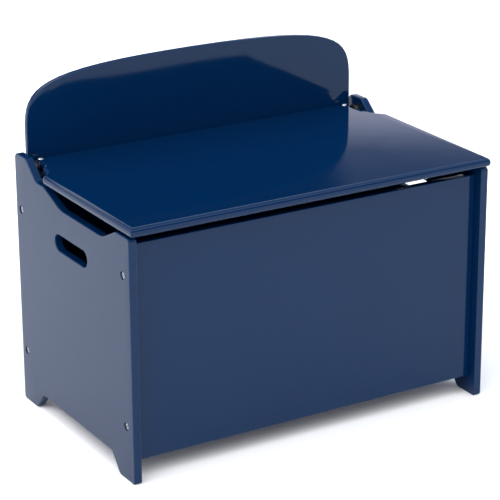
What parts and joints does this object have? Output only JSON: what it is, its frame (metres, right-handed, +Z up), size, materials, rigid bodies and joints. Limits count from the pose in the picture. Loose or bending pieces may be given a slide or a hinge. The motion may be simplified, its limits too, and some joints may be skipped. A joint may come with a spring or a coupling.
{
  "type": "toy box",
  "caption": "Painted wooden toy box with a hinged lid, an arched backrest, end panels with hand slots, and a finger recess under the lid on each side.",
  "frame": {"origin": "on the floor, under the middle of the side panels; the lid reaches 5.5 mm further forward than they do", "axes": "+X to the viewer's right along the width, -Y out of the front, +Z up"},
  "size_m": [0.61, 0.3685, 0.5215],
  "materials": {
    "navy_paint": "semi-gloss navy paint on board",
    "beech": "plain beech",
    "zinc_steel": "zinc plated",
    "dark_steel": "satin dark coating",
    "black_plastic": "matte"
  },
  "bodies": {
    "box": {"back_panel": "navy_paint", "backrest": "navy_paint", "backrest_screw_1": "zinc_steel", "backrest_screw_2": "zinc_steel", "backrest_screw_3": "zinc_steel", "backrest_screw_4": "zinc_steel", "bottom_panel": "navy_paint", "front_panel": "navy_paint", "left_back_bottom_barrel_nut": "zinc_steel", "left_back_bottom_bolt": "zinc_steel", "left_back_lower_dowel": "beech", "left_back_top_barrel_nut": "zinc_steel", "left_back_top_bolt": "zinc_steel", "left_back_upper_dowel": "beech", "left_friction_washer": "black_plastic", "left_front_bottom_barrel_nut": "zinc_steel", "left_front_bottom_bolt": "zinc_steel", "left_front_lower_dowel": "beech", "left_front_top_barrel_nut": "zinc_steel", "left_front_top_bolt": "zinc_steel", "left_front_upper_dowel": "beech", "left_hinge_pin": "zinc_steel", "left_hinge_plate": "dark_steel", "left_plate_screw_1": "zinc_steel", "left_plate_screw_2": "zinc_steel", "left_plate_screw_3": "zinc_steel", "left_side_panel": "navy_paint", "right_back_bottom_barrel_nut": "zinc_steel", "right_back_bottom_bolt": "zinc_steel", "right_back_lower_dowel": "beech", "right_back_top_barrel_nut": "zinc_steel", "right_back_top_bolt": "zinc_steel", "right_back_upper_dowel": "beech", "right_friction_washer": "black_plastic", "right_front_bottom_barrel_nut": "zinc_steel", "right_front_bottom_bolt": "zinc_steel", "right_front_lower_dowel": "beech", "right_front_top_barrel_nut": "zinc_steel", "right_front_top_bolt": "zinc_steel", "right_front_upper_dowel": "beech", "right_hinge_pin": "zinc_steel", "right_hinge_plate": "dark_steel", "right_plate_screw_1": "zinc_steel", "right_plate_screw_2": "zinc_steel", "right_plate_screw_3": "zinc_steel", "right_side_panel": "navy_paint"},
    "lid": {"left_arm_screw_1": "zinc_steel", "left_arm_screw_2": "zinc_steel", "left_hinge_arm": "dark_steel", "left_lid_bolt": "zinc_steel", "left_lid_nut": "zinc_steel", "lid": "navy_paint", "right_arm_screw_1": "zinc_steel", "right_arm_screw_2": "zinc_steel", "right_hinge_arm": "dark_steel", "right_lid_bolt": "zinc_steel", "right_lid_nut": "zinc_steel"}
  },
  "joints": [
    {"name": "lid_hinge", "type": "hinge", "parent": "box", "child": "lid", "pos_m": [0, 0.1525, 0.3813], "axis": [-1, 0, 0], "range_deg": [0, 93]}
  ]
}
